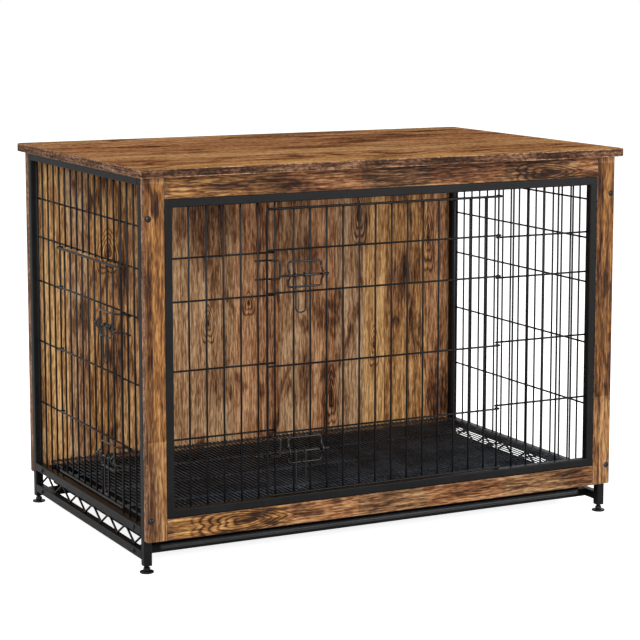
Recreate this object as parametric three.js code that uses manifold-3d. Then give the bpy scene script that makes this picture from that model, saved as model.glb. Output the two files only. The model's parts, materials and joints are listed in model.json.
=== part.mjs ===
// Furniture-style wire dog crate: a board-clad steel crate with a front door, a side door and a tray.
// Millimetres, +Z up, +X along the length, -Y towards the front. The origin is on the floor,
// under the centre of the top board.
import * as THREE from 'three';
import { mergeVertices } from 'three/addons/utils/BufferGeometryUtils.js';
import Module from 'manifold-3d';

const wasm = await Module();
wasm.setup();

// ---------- driving dimensions ----------

// Board shell
const panelLength = 950; // front frame and rear panel, left to right
const bodyDepth = 600; // face of the front frame to face of the rear panel
const panelHeight = 626.7;
const panelBottom = 58; // clear height under the boards
const boardThickness = 15;
const stileWidth = 37;
const railWidth = 37.5;
const topThickness = 15;
const topSideOverhang = 13;
const topFrontOverhang = 18;
const topCornerRadius = 14;

// Steel frame
const tubeWidth = 15;
const postBottom = 13; // lower end of a post above the floor
const floorRailBottom = 64;
const lowerRailBottom = 22;
const crossbarInset = 65; // crossbar centre behind the board face
const windowRecess = 1; // window frame set back from the board face
const trussDiameter = 4;
const trussBends = 14;
const trussEndMargin = 8;

// Wire grids
const wireDiameter = 3;
const frontPitch = 32.5;
const sidePitch = 30.75;
const wireSides = 4;
const bendSides = 6;
const gridSetback = 10; // front face of the boards to the front grid's upright wires
const sideGridSetback = 9; // outer face of the side tubes to the side grids' upright wires
const frontLevelShares = [0.8307, 0.6866, 0.4561, 0.2275]; // cross wires, as shares of the grid's height
const sideLevelShares = [0.8778, 0.7525, 0.6086, 0.4097, 0.2074];
const wireTail = 3.25; // cross wires run on past the last upright wire

// Doors
const doorFrameDiameter = 4.5;
const doorCornerRadius = 8;
const doorWireShift = 3.3; // door uprights stand this much nearer the hinge than the grid's own pattern
const frontOpening = [-14, 14]; // the opening's edge wires, latch side first, in half pitches
const frontDoorOverlap = 17; // door frame beyond the latch-side edge wire
const frontDoorLow = 3.2; // door frame above the window frame's bottom bar
const frontDoorHigh = 11.9; // and below its top bar
const frontDoorSteps = [4.5, 4, -5, -5]; // door cross wires above the grid's, so that their hooks clear
const sideOpening = [-11, 9];
const sideDoorOverlap = 13;
const sideDoorLow = 13; // above the floor rail
const sideDoorHigh = 6.5; // below the grid's cross wire that closes the opening
const sideDoorSteps = [4.5, 4.5, 4.5];
const hookAngle = 200; // how far a hinge hook wraps round its pin wire, in degrees
const hookSteps = 5;

// Latches
const frontLatchRise = { upper: 33.5, lower: -40.5 }; // bolts above a cross wire of their grid
const frontLatchWire = { upper: 1, lower: 3 }; // that wire, counted down from 0 at the top
const sideLatchRise = { upper: -31.5, lower: -31.5 };
const sideLatchWire = { upper: 2, lower: 4 };
const latchRodDiameter = 4;
const latchRodSides = 8;
const latchWireDiameter = 2.6; // handle wire
const rodStart = 24; // distances from the door frame's latch-side wire
const rodEnd = 119;
const keeperStart = -20;
const keeperLeg = 21;
const keeperDrop = 4.8; // keeper below and above the rod
const keeperRise = 28;
const keeperCorner = 2;
const guideStart = 40.5;
const guideEnd = 105.5;
const guideRise = 24;
const guideDrop = 21;
const guideCorner = 6;
const guideSplit = 1; // gap where the guide wire's two ends meet
const guideBulge = 10; // height over which the guide bends out round the rod
const handleStart = 51.7;
const handleWidth = 19;
const handleLength = 65;
const eyeAngle = 250;
const eyeSteps = 5;

// Floor grid
const floorEndGap = 10.7; // floor grid to the inner ends of the crossbars
const floorSideGap = 7.4; // floor grid to the ends of the rails
const floorWirePitch = 9.2;
const floorWireWidth = 2.6;
const floorEdgeWidth = 4;
const floorCrossWidth = 4;
const floorCrossCount = 3; // cross wires between the two edge bars

// Tray
const trayEndGap = 15.7; // tray to the inner ends of the crossbars
const trayFrontReach = 9.5; // tray in front of the front crossbars
const trayRearGap = 17; // tray to the rear panel
const trayHeight = 20;
const trayWall = 2;
const trayLipDiameter = 9;
const trayLipInset = 10; // lip end behind the tray's side
const trayLipSides = 10;
const trayLipDrop = 1; // lip centre below the tray's underside

// Levelling feet
const footPadRadius = 12.5;
const footPadHeight = 3;
const footConeHeight = 2;
const footNeckRadius = 5.5;
const footStudRadius = 4;
const footStudLength = 22;
const footBoreDepth = 26;
const footSegments = 12;

// Fasteners
const boltRadius = 3;
const boltHeadRadius = 5.5;
const boltHeadHeight = 3;
const boltLength = 27;
const boltHighInset = 69.7; // upper panel bolts below the top of the boards
const boltLowInset = 37; // lower panel bolts above their underside
const boltSocketRadius = 2;
const boltSocketDepth = 1.6;
const screwRadius = 2.5;
const screwHeadRadius = 4.5;
const screwHeadHeight = 2.5;
const screwLength = 26;
const headDome = [[1, 0.35], [0.62, 0.9], [0.4, 1]]; // shares of the head's radius and height
const fastenerSegments = 8;
const boreSides = 6;
const boreSpare = 1; // a cutting tool runs this much past the face it opens, or past its bolt's end

// Clearances
const seatGap = 0.3; // between a piece and what it rests on or fits into
const runningGap = 0.4; // round a piece that slides or turns
const boreGap = 0.3; // radial, from a fastener's corners to its bore
const weldDepth = 0.3; // how far crossing wires sink into each other
const samePoint = 0.01; // points of a path nearer than this are one

// ---------- worked-out places ----------

const halfLength = panelLength / 2;
const halfDepth = bodyDepth / 2;
const panelTop = panelBottom + panelHeight;
const topBottom = panelTop + seatGap;
const halfTube = tubeWidth / 2;
const postX = halfLength - halfTube;
const postY = halfDepth - boardThickness - seatGap - halfTube;
const railHalfSpan = postY - halfTube - seatGap;
const floorRailTop = floorRailBottom + tubeWidth;
const lowerRailTop = lowerRailBottom + tubeWidth;
const topRailBottom = panelTop - tubeWidth;
const crossbarHalf = halfLength - tubeWidth - seatGap;
const crossbarY = halfDepth - crossbarInset;
const windowHalf = halfLength - stileWidth - seatGap;
const windowBottom = panelBottom + railWidth + seatGap;
const windowTop = panelTop - railWidth - seatGap;
const frontGridY = -halfDepth + gridSetback;
const sideGridX = halfLength - sideGridSetback;
const frontGridBottom = windowBottom + tubeWidth + seatGap;
const frontGridTop = windowTop - tubeWidth - seatGap;
const levelsBetween = (bottom, top, shares) => shares.map((share) => bottom + share * (top - bottom));
const frontLevels = levelsBetween(frontGridBottom, frontGridTop, frontLevelShares);
const sideLevels = levelsBetween(floorRailTop, topRailBottom, sideLevelShares);
const frontOuter = Math.floor((windowHalf - tubeWidth - wireDiameter) / frontPitch); // in pitches
const sideOuter = Math.floor((railHalfSpan - wireDiameter) / sidePitch + 0.5) - 0.5; // set half a pitch off
const [frontFirst, frontLast] = frontOpening.map((halves) => halves / 2);
const [sideFirst, sideLast] = sideOpening.map((halves) => halves / 2);
const boltHeights = { upper: panelTop - boltHighInset, lower: panelBottom + boltLowInset };
const floorHalfLength = crossbarHalf - floorEndGap;
const floorHalfDepth = railHalfSpan - floorSideGap;
const trayHalfLength = crossbarHalf - trayEndGap;
const trayFront = -(crossbarY + halfTube + trayFrontReach);
const trayRear = halfDepth - boardThickness - trayRearGap;

// A prism of N sides with the same area as the round wire: its corner and flat distances.
const cornerOf = (diameter, sides) => (
  diameter * Math.sqrt(Math.PI / (2 * sides * Math.sin(2 * Math.PI / sides))));
const flatOf = (diameter, sides) => cornerOf(diameter, sides) * Math.cos(Math.PI / sides);
const wireFlat = flatOf(wireDiameter, wireSides);
const wireCorner = cornerOf(wireDiameter, wireSides);
const bendFlat = flatOf(wireDiameter, bendSides);
const bendCorner = cornerOf(wireDiameter, bendSides);
const rodCorner = cornerOf(latchRodDiameter, latchRodSides);
const handleCorner = cornerOf(latchWireDiameter, bendSides);

// Layers of wire, measured outwards from the upright wires of the fixed grids.
const crossLayer = -(2 * wireFlat - weldDepth);
const hookLayer = wireCorner + bendCorner + runningGap;
const doorFrameLayer = wireCorner + cornerOf(doorFrameDiameter, bendSides) + runningGap;
const doorUprightLayer = hookLayer - (bendFlat + wireFlat - weldDepth);
const eyeRadius = rodCorner + handleCorner + runningGap;
const rodLayer = doorUprightLayer + wireFlat + runningGap + handleCorner + eyeRadius;
const bridgeLayer = rodLayer + rodCorner + runningGap + bendCorner; // guide and keeper over the rod
const keeperLayer = -(wireFlat + seatGap + bendCorner);

// ---------- solids ----------

function toSolid(geometry) {
  const plain = geometry.index ? geometry.clone() : mergeVertices(geometry);
  plain.deleteAttribute('normal');
  plain.deleteAttribute('uv');
  const merged = mergeVertices(plain, 1e-4);
  return new wasm.Manifold(new wasm.Mesh({
    numProp: 3,
    vertProperties: Float32Array.from(merged.attributes.position.array),
    triVerts: Uint32Array.from(merged.index.array),
  }));
}

function toGeometry(solid) {
  const mesh = solid.getMesh();
  const geometry = new THREE.BufferGeometry();
  const vertices = new Float32Array(mesh.numVert * 3);
  for (let i = 0; i < mesh.numVert; i++) {
    vertices.set(mesh.vertProperties.slice(mesh.numProp * i, mesh.numProp * i + 3), 3 * i);
  }
  geometry.setAttribute('position', new THREE.BufferAttribute(vertices, 3));
  geometry.setIndex(new THREE.BufferAttribute(Uint32Array.from(mesh.triVerts), 1));
  return geometry;
}

const weld = (pieces) => toGeometry(pieces.map(toSolid).reduce((sum, piece) => sum.add(piece)));
const cut = (body, tools) => toGeometry(
  tools.map(toSolid).reduce((rest, tool) => rest.subtract(tool), toSolid(body)));

function boxBetween(low, high) {
  const size = high.map((value, axis) => value - low[axis]);
  const middle = high.map((value, axis) => (value + low[axis]) / 2);
  return new THREE.BoxGeometry(...size).translate(...middle);
}

// A prism from one point to another, with a flat facing the given direction.
function prism(from, to, diameter, sides, facing) {
  const along = new THREE.Vector3().subVectors(to, from);
  const length = along.length();
  along.normalize();
  const across = new THREE.Vector3().crossVectors(along, facing).normalize();
  const outward = new THREE.Vector3().crossVectors(across, along);
  const radius = cornerOf(diameter, sides);
  const turn = Math.PI / sides;
  return new THREE.CylinderGeometry(radius, radius, length, sides, 1, false, turn)
    .applyMatrix4(new THREE.Matrix4().makeBasis(across, along, outward))
    .translate((from.x + to.x) / 2, (from.y + to.y) / 2, (from.z + to.z) / 2);
}

// A path through listed points, one step for each stretch. A long stretch keeps its direction up to its end.
class WirePath extends THREE.Curve {
  constructor(points) {
    super();
    this.points = points;
  }

  getPoint(t) {
    const place = t * (this.points.length - 1);
    const index = Math.min(Math.floor(place + 1e-6), this.points.length - 2);
    return new THREE.Vector3().lerpVectors(this.points[index], this.points[index + 1], place - index);
  }

  getPointAt(t) {
    return this.getPoint(t);
  }

  getTangentAt(t) {
    const index = Math.round(t * (this.points.length - 1));
    const before = this.points[Math.max(index - 1, 0)];
    const after = this.points[Math.min(index + 1, this.points.length - 1)];
    return new THREE.Vector3().subVectors(after, before).normalize();
  }
}

function bentWire(points, diameter, sides = bendSides) {
  const section = new THREE.Shape();
  const radius = cornerOf(diameter, sides);
  for (let i = 0; i < sides; i++) {
    const angle = 2 * Math.PI * (i + 0.5) / sides;
    const corner = [radius * Math.cos(angle), radius * Math.sin(angle)];
    if (i === 0) section.moveTo(...corner);
    else section.lineTo(...corner);
  }
  section.closePath();
  return new THREE.ExtrudeGeometry(section, { steps: points.length - 1, extrudePath: new WirePath(points) });
}

// Replaces each inner corner of a path by an arc of a few steps.
function rounded(points, radius, steps = 3) {
  const path = [points[0]];
  for (let i = 1; i < points.length - 1; i++) {
    const back = new THREE.Vector3().subVectors(points[i - 1], points[i]);
    const ahead = new THREE.Vector3().subVectors(points[i + 1], points[i]);
    const reach = Math.min(radius, back.length() / 2, ahead.length() / 2);
    const start = points[i].clone().addScaledVector(back.normalize(), reach);
    const end = points[i].clone().addScaledVector(ahead.normalize(), reach);
    const arc = new THREE.QuadraticBezierCurve3(start, points[i], end);
    path.push(...arc.getPoints(steps));
  }
  path.push(points[points.length - 1]);
  return path.filter((point, i) => i === 0 || point.distanceTo(path[i - 1]) > samePoint);
}

function bore(from, to, radius) {
  const facing = from.z === to.z ? new THREE.Vector3(0, 0, 1) : new THREE.Vector3(0, 1, 0);
  return prism(from, to, (radius + boreGap) / flatOf(1, boreSides), boreSides, facing);
}

// ---------- finishes ----------

const finishes = {
  board: { color: 0x8f5a30, roughness: 0.6, metalness: 0 },
  steel: { color: 0x2b2c2e, roughness: 0.5, metalness: 0.6 },
  wire: { color: 0x17181a, roughness: 0.35, metalness: 0.7 },
  tray: { color: 0x1c1d1f, roughness: 0.6, metalness: 0 },
  foot: { color: 0x101113, roughness: 0.45, metalness: 0 },
  bolt: { color: 0x202124, roughness: 0.3, metalness: 0.9 },
};

const crate = new THREE.Group();

function add(name, geometry, finish, parent = crate) {
  const mesh = new THREE.Mesh(geometry, new THREE.MeshStandardMaterial(finishes[finish]));
  mesh.name = name;
  parent.add(mesh);
  return mesh;
}

const cornersOf = [
  { name: 'front_left', x: -1, y: -1 },
  { name: 'front_right', x: 1, y: -1 },
  { name: 'rear_left', x: -1, y: 1 },
  { name: 'rear_right', x: 1, y: 1 },
];

// ---------- boards ----------

function roundedRectangle(halfX, halfY, radius) {
  const shape = new THREE.Shape();
  shape.moveTo(halfX, -halfY + radius);
  shape.absarc(halfX - radius, halfY - radius, radius, 0, Math.PI / 2);
  shape.absarc(-halfX + radius, halfY - radius, radius, Math.PI / 2, Math.PI);
  shape.absarc(-halfX + radius, -halfY + radius, radius, Math.PI, 1.5 * Math.PI);
  shape.absarc(halfX - radius, -halfY + radius, radius, 1.5 * Math.PI, 2 * Math.PI);
  return shape;
}

function addBoards() {
  const outline = roundedRectangle(
    halfLength + topSideOverhang, halfDepth + topFrontOverhang, topCornerRadius);
  const top = new THREE.ExtrudeGeometry(
    outline, { depth: topThickness, bevelEnabled: false, curveSegments: 4 });
  add('top_board', top, 'board').position.z = topBottom;

  const boltBore = (x, height) => bore(
    new THREE.Vector3(x, -boardThickness, height), new THREE.Vector3(x, boardThickness, height), boltRadius);
  const heights = Object.values(boltHeights);

  for (const [side, sign] of [['left', -1], ['right', 1]]) {
    const inner = halfLength - stileWidth;
    const edges = [sign * inner, sign * halfLength].sort((a, b) => a - b);
    const board = boxBetween(
      [edges[0], -boardThickness / 2, panelBottom], [edges[1], boardThickness / 2, panelTop]);
    const stile = cut(board, heights.map((height) => boltBore(sign * postX, height)));
    add(`front_stile_${side}`, stile, 'board').position.y = -halfDepth + boardThickness / 2;
  }

  const railHalf = halfLength - stileWidth - seatGap;
  const rail = new THREE.BoxGeometry(2 * railHalf, boardThickness, railWidth);
  for (const [name, height] of [['bottom', panelBottom + railWidth / 2], ['top', panelTop - railWidth / 2]]) {
    add(`front_rail_${name}`, rail, 'board').position.set(0, -halfDepth + boardThickness / 2, height);
  }

  const sheet = boxBetween(
    [-halfLength, -boardThickness / 2, panelBottom], [halfLength, boardThickness / 2, panelTop]);
  const bores = heights.flatMap((height) => [boltBore(-postX, height), boltBore(postX, height)]);
  add('rear_panel', cut(sheet, bores), 'board').position.y = halfDepth - boardThickness / 2;
}

// ---------- steel frame ----------

function addPosts() {
  const reach = boltLength - boardThickness + boreSpare; // from the post's outer face
  const bores = Object.values(boltHeights).map((height) => bore(
    new THREE.Vector3(0, -halfTube - boreSpare, height),
    new THREE.Vector3(0, -halfTube + reach, height), boltRadius));
  const footBore = bore(
    new THREE.Vector3(0, 0, postBottom - boreSpare),
    new THREE.Vector3(0, 0, postBottom + footBoreDepth), footStudRadius);
  const tube = boxBetween([-halfTube, -halfTube, postBottom], [halfTube, halfTube, panelTop]);
  const post = cut(tube, [...bores, footBore]);
  for (const corner of cornersOf) {
    const mesh = add(`${corner.name}_post`, post, 'steel');
    mesh.position.set(corner.x * postX, corner.y * postY, 0);
    mesh.rotation.z = corner.y > 0 ? Math.PI : 0;
  }
}

// Floor rail, lower rail and the bent truss wire between them, in the plane x = 0.
function baseTruss() {
  const rails = [lowerRailBottom, floorRailBottom].map((bottom) => boxBetween(
    [-halfTube, -railHalfSpan, bottom], [halfTube, railHalfSpan, bottom + tubeWidth]));
  const wireRadius = trussDiameter / 2;
  const low = lowerRailTop + wireRadius - 2 * weldDepth;
  const high = floorRailBottom - wireRadius + 2 * weldDepth;
  const span = railHalfSpan - trussEndMargin;
  const bends = Array.from({ length: trussBends }, (_, i) => new THREE.Vector3(
    0, span - 2 * span * i / (trussBends - 1), i % 2 ? high : low));
  const holes = [-crossbarY, crossbarY].flatMap((y) => [lowerRailBottom, floorRailBottom].map(
    (bottom) => bore(
      new THREE.Vector3(-tubeWidth, y, bottom + halfTube),
      new THREE.Vector3(tubeWidth, y, bottom + halfTube), screwRadius)));
  return cut(weld([...rails, bentWire(bends, trussDiameter)]), holes);
}

function addBase() {
  const truss = baseTruss();
  add('left_base_truss', truss, 'steel').position.x = -postX;
  add('right_base_truss', truss, 'steel').position.x = postX;

  const depth = screwLength - tubeWidth - seatGap + boreSpare;
  const ends = [-1, 1].map((sign) => bore(
    new THREE.Vector3(sign * (crossbarHalf + boreSpare), 0, 0),
    new THREE.Vector3(sign * (crossbarHalf - depth), 0, 0), screwRadius));
  const bar = cut(new THREE.BoxGeometry(2 * crossbarHalf, tubeWidth, tubeWidth), ends);
  for (const [row, y] of [['front', -crossbarY], ['rear', crossbarY]]) {
    for (const [level, bottom] of [['upper', floorRailBottom], ['lower', lowerRailBottom]]) {
      add(`${row}_${level}_crossbar`, bar, 'steel').position.set(0, y, bottom + halfTube);
    }
  }
}

function addWindowFrame() {
  const shape = new THREE.Shape([
    new THREE.Vector2(-windowHalf, windowBottom), new THREE.Vector2(windowHalf, windowBottom),
    new THREE.Vector2(windowHalf, windowTop), new THREE.Vector2(-windowHalf, windowTop)]);
  const half = windowHalf - tubeWidth;
  shape.holes.push(new THREE.Path([
    new THREE.Vector2(-half, windowBottom + tubeWidth), new THREE.Vector2(-half, windowTop - tubeWidth),
    new THREE.Vector2(half, windowTop - tubeWidth), new THREE.Vector2(half, windowBottom + tubeWidth)]));
  const frame = new THREE.ExtrudeGeometry(shape, { depth: tubeWidth, bevelEnabled: false });
  frame.rotateX(Math.PI / 2);
  add('window_frame', frame, 'steel').position.y = -halfDepth + windowRecess + tubeWidth;
}

// ---------- wire grids ----------

// A panel's own coordinates are (along, outward, height); each panel has a function that turns
// them into the crate's frame.
const frontPlace = (along, outward, height) => new THREE.Vector3(along, frontGridY - outward, height);
const leftPlace = (along, outward, height) => new THREE.Vector3(-sideGridX - outward, along, height);
const rightPlace = (along, outward, height) => new THREE.Vector3(sideGridX + outward, along, height);

function straightWire(place, from, to, diameter = wireDiameter, sides = wireSides) {
  const facing = new THREE.Vector3().subVectors(place(0, 1, 0), place(0, 0, 0));
  return prism(place(...from), place(...to), diameter, sides, facing);
}

const uprights = (place, spots, bottom, top) => spots.map((along) => straightWire(
  place, [along, 0, bottom], [along, 0, top]));

const crossWires = (place, levels, start, end) => levels.map((level) => straightWire(
  place, [start, crossLayer, level], [end, crossLayer, level]));

const spotsBetween = (first, last, pitch) => Array.from(
  { length: last - first + 1 }, (_, i) => (first + i) * pitch);

function addFrontGrids() {
  const frameInner = windowHalf - tubeWidth - seatGap;
  const strips = {
    left: {
      spots: spotsBetween(-frontOuter, frontFirst, frontPitch),
      ends: [-frameInner, frontFirst * frontPitch + wireTail],
    },
    right: {
      spots: spotsBetween(frontLast, frontOuter, frontPitch),
      ends: [frontLast * frontPitch - wireTail, frameInner],
    },
  };
  for (const [side, { spots, ends }] of Object.entries(strips)) {
    const wires = [
      ...uprights(frontPlace, spots, frontGridBottom, frontGridTop),
      ...crossWires(frontPlace, frontLevels, ...ends)];
    add(`front_grid_${side}`, weld(wires), 'wire');
  }
}

function sideTopRail(place) {
  const outer = place(0, sideGridSetback, 0).x;
  const inner = place(0, sideGridSetback - tubeWidth, 0).x;
  return boxBetween(
    [Math.min(outer, inner), -railHalfSpan, topRailBottom], [Math.max(outer, inner), railHalfSpan, panelTop]);
}

function addSideGrids() {
  const bottom = floorRailTop + seatGap;
  const intoRail = topRailBottom + weldDepth;
  const underRail = topRailBottom - seatGap;

  const rightWires = [
    sideTopRail(rightPlace),
    ...uprights(rightPlace, spotsBetween(-sideOuter, sideOuter, sidePitch), bottom, intoRail),
    ...crossWires(rightPlace, sideLevels, -railHalfSpan, railHalfSpan)];
  add('right_grid', weld(rightWires), 'wire');

  // The left side leaves an opening for its door: a part above it and a strip at each end.
  const frontEdge = sideFirst * sidePitch + wireTail;
  const rearEdge = sideLast * sidePitch - wireTail;
  const upperLevels = sideLevels.slice(0, -sideDoorSteps.length);
  const upperWires = [
    sideTopRail(leftPlace),
    ...uprights(leftPlace, spotsBetween(sideFirst + 1, sideLast - 1, sidePitch),
      Math.min(...upperLevels) - wireTail, intoRail),
    ...crossWires(leftPlace, upperLevels, frontEdge + seatGap, rearEdge - seatGap)];
  add('left_grid_upper', weld(upperWires), 'wire');

  const strips = {
    front: { spots: spotsBetween(-sideOuter, sideFirst, sidePitch), ends: [-railHalfSpan, frontEdge] },
    rear: { spots: spotsBetween(sideLast, sideOuter, sidePitch), ends: [rearEdge, railHalfSpan] },
  };
  for (const [row, { spots, ends }] of Object.entries(strips)) {
    const wires = [
      ...uprights(leftPlace, spots, bottom, underRail),
      ...crossWires(leftPlace, sideLevels, ...ends)];
    add(`left_grid_${row}`, weld(wires), 'wire');
  }
}

// ---------- doors and latches ----------

// The end of a door wire: it runs over its pin wire and curls round behind it.
function hookPoints(place, hinge, layer, height) {
  return Array.from({ length: hookSteps + 1 }, (_, i) => {
    const angle = Math.PI / 2 - i * THREE.MathUtils.degToRad(hookAngle) / hookSteps;
    return place(hinge + layer * Math.cos(angle), layer * Math.sin(angle), height);
  });
}

// The bent loop on the door that the bolt slides in: it passes over the rod at both ends.
function latchGuide(place, edge, rodHeight) {
  const start = edge + guideStart;
  const end = edge + guideEnd;
  const middle = (start + end) / 2;
  const low = rodHeight - guideDrop;
  const high = rodHeight + guideRise;
  const side = (along, heights) => heights.map(
    ([outward, height]) => place(along, outward, rodHeight + height));
  const bulge = [[hookLayer, -guideBulge], [bridgeLayer, -guideBulge / 4], [bridgeLayer, guideBulge / 4],
    [hookLayer, guideBulge]];
  return bentWire(rounded([
    place(middle + guideSplit / 2, hookLayer, low), place(end, hookLayer, low),
    ...side(end, bulge),
    place(end, hookLayer, high), place(start, hookLayer, high),
    ...side(start, bulge.toReversed()),
    place(start, hookLayer, low), place(middle - guideSplit / 2, hookLayer, low),
  ], guideCorner, 2), wireDiameter);
}

function doorSolid(place, door) {
  const { hinge, edge, bottom, top, levels, spots, latches } = door;
  const frame = bentWire([
    ...hookPoints(place, hinge, doorFrameLayer, top).reverse(),
    ...rounded([
      place(hinge - doorCornerRadius, doorFrameLayer, top), place(edge, doorFrameLayer, top),
      place(edge, doorFrameLayer, bottom), place(hinge - doorCornerRadius, doorFrameLayer, bottom),
    ], doorCornerRadius),
    ...hookPoints(place, hinge, doorFrameLayer, bottom),
  ], doorFrameDiameter);
  const crossers = levels.map((level) => bentWire(
    [place(edge, hookLayer, level), ...hookPoints(place, hinge, hookLayer, level)], wireDiameter));
  const verticals = spots.map((along) => straightWire(
    place, [along + doorWireShift, doorUprightLayer, bottom - weldDepth],
    [along + doorWireShift, doorUprightLayer, top + weldDepth]));
  const guides = Object.values(latches).map((height) => latchGuide(place, edge, height));
  return weld([frame, ...crossers, ...verticals, ...guides]);
}

function latchKeeper(place, edge, rodHeight) {
  const inPlane = edge + doorFrameDiameter;
  const leg = edge + keeperLeg;
  const low = rodHeight - keeperDrop;
  const high = rodHeight + keeperRise;
  return bentWire(rounded([
    place(edge + keeperStart, keeperLayer, high), place(inPlane, keeperLayer, high),
    place(leg, bridgeLayer, high), place(leg, bridgeLayer, low),
    place(inPlane, keeperLayer, low), place(edge + keeperStart, keeperLayer, low),
  ], keeperCorner, 2), wireDiameter);
}

function latchRod(place, edge, rodHeight) {
  return straightWire(
    place, [edge + rodStart, rodLayer, rodHeight], [edge + rodEnd, rodLayer, rodHeight],
    latchRodDiameter, latchRodSides);
}

// A hanging loop whose two ends are wound round the rod.
function latchHandle(place, edge, rodHeight) {
  const first = edge + handleStart;
  const last = first + handleWidth;
  const eye = (along) => Array.from({ length: eyeSteps + 1 }, (_, i) => {
    const angle = THREE.MathUtils.degToRad(eyeAngle * (1 - i / eyeSteps));
    return place(along, rodLayer + eyeRadius * Math.cos(angle), rodHeight + eyeRadius * Math.sin(angle));
  });
  const bottom = rodHeight - handleLength;
  const legLayer = rodLayer + eyeRadius;
  return bentWire([
    ...eye(first),
    ...rounded([
      place(first, legLayer, rodHeight - eyeRadius), place(first, legLayer, bottom),
      place(last, legLayer, bottom), place(last, legLayer, rodHeight - eyeRadius),
    ], handleWidth / 2),
    ...eye(last).reverse(),
  ], latchWireDiameter);
}

function addDoor(name, place, door) {
  const mount = new THREE.Group();
  crate.add(mount);
  add(`${name}_door`, doorSolid(place, door), 'wire', mount);
  for (const [level, height] of Object.entries(door.latches)) {
    add(`${name}_keeper_${level}`, latchKeeper(place, door.edge, height), 'wire');
    add(`${name}_bolt_${level}`, latchRod(place, door.edge, height), 'wire', mount);
    add(`${name}_handle_${level}`, latchHandle(place, door.edge, height), 'wire', mount);
  }
}

const latchesAt = (levels, wire, rise) => ({
  upper: levels[wire.upper] + rise.upper,
  lower: levels[wire.lower] + rise.lower,
});

// A door between two of its grid's upright wires. Its cross wires each stand a step above one of the
// grid's, counted from the lowest one up.
function doorBetween(first, last, pitch, overlap, { bottom, top }, gridLevels, steps, latches) {
  return {
    bottom, top, latches,
    hinge: last * pitch,
    edge: first * pitch - overlap,
    levels: gridLevels.slice(-steps.length).map((level, i) => level + steps[i]),
    spots: spotsBetween(first + 1, last - 1, pitch),
  };
}

// ---------- floor grid and tray ----------

function addFloor() {
  const crossBottom = floorRailTop + seatGap;
  const wireBottom = crossBottom + floorCrossWidth - weldDepth;
  const wireTop = wireBottom + floorWireWidth;
  const edgeTop = wireTop + weldDepth;
  const edge = (along, across) => cut(
    boxBetween([-along, -across, crossBottom], [along, across, edgeTop]),
    [boxBetween(
      [-along + floorEdgeWidth, -across + floorEdgeWidth, crossBottom - boreSpare],
      [along - floorEdgeWidth, across - floorEdgeWidth, edgeTop + boreSpare])]);
  const innerLength = floorHalfLength - floorEdgeWidth + weldDepth;
  const innerDepth = floorHalfDepth - floorEdgeWidth + weldDepth;
  const wireCount = Math.floor(2 * innerLength / floorWirePitch) - 1;
  const long = Array.from({ length: wireCount }, (_, i) => {
    const x = (i - (wireCount - 1) / 2) * floorWirePitch;
    return boxBetween(
      [x - floorWireWidth / 2, -innerDepth, wireBottom], [x + floorWireWidth / 2, innerDepth, wireTop]);
  });
  const crossSpacing = 2 * innerDepth / (floorCrossCount + 1);
  const cross = Array.from({ length: floorCrossCount }, (_, i) => {
    const y = -innerDepth + (i + 1) * crossSpacing;
    return boxBetween(
      [-innerLength, y - floorCrossWidth / 2, crossBottom + seatGap],
      [innerLength, y + floorCrossWidth / 2, wireBottom - seatGap]);
  });
  add('floor_grid', weld([edge(floorHalfLength, floorHalfDepth), ...long, ...cross]), 'wire');
}

function addTray() {
  const underside = lowerRailTop + seatGap;
  const lipHalf = trayHalfLength - trayLipInset;
  const shell = boxBetween(
    [-trayHalfLength, trayFront, underside], [trayHalfLength, trayRear, underside + trayHeight]);
  const hollow = boxBetween(
    [-trayHalfLength + trayWall, trayFront + trayWall, underside + trayWall],
    [trayHalfLength - trayWall, trayRear - trayWall, underside + 2 * trayHeight]);
  const lipY = trayFront - trayLipDiameter / 2 + trayWall / 2;
  const lip = prism(
    new THREE.Vector3(-lipHalf, lipY, underside - trayLipDrop),
    new THREE.Vector3(lipHalf, lipY, underside - trayLipDrop),
    trayLipDiameter, trayLipSides, new THREE.Vector3(0, 1, 0));
  add('tray', weld([cut(shell, [hollow]), lip]), 'tray');
}

// ---------- feet and fasteners ----------

function lathe(profile, segments) {
  const points = profile.map(([radius, height]) => new THREE.Vector2(radius, height));
  return new THREE.LatheGeometry(points, segments).rotateX(Math.PI / 2);
}

function addFeet() {
  const neckTop = postBottom - seatGap;
  const coneTop = footPadHeight + footConeHeight;
  const foot = lathe([
    [0, 0], [footPadRadius, 0], [footPadRadius, footPadHeight], [footNeckRadius, coneTop],
    [footNeckRadius, neckTop], [footStudRadius, neckTop], [footStudRadius, neckTop + footStudLength],
    [0, neckTop + footStudLength],
  ], footSegments);
  for (const corner of cornersOf) {
    add(`${corner.name}_foot`, foot, 'foot').position.set(corner.x * postX, corner.y * postY, 0);
  }
}

// A headed fastener along +Z, its head's underside at z = 0 and its shank below it.
function fastener(radius, headRadius, headHeight, length, socket) {
  const shape = [[0, -length], [radius, -length], [radius, 0], [headRadius, 0],
    ...headDome.map(([across, up]) => [headRadius * across, headHeight * up])];
  if (socket) shape.push([boltSocketRadius, headHeight], [boltSocketRadius, headHeight - boltSocketDepth],
    [0, headHeight - boltSocketDepth]);
  else shape.push([0, headHeight]);
  return lathe(shape, fastenerSegments);
}

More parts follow.
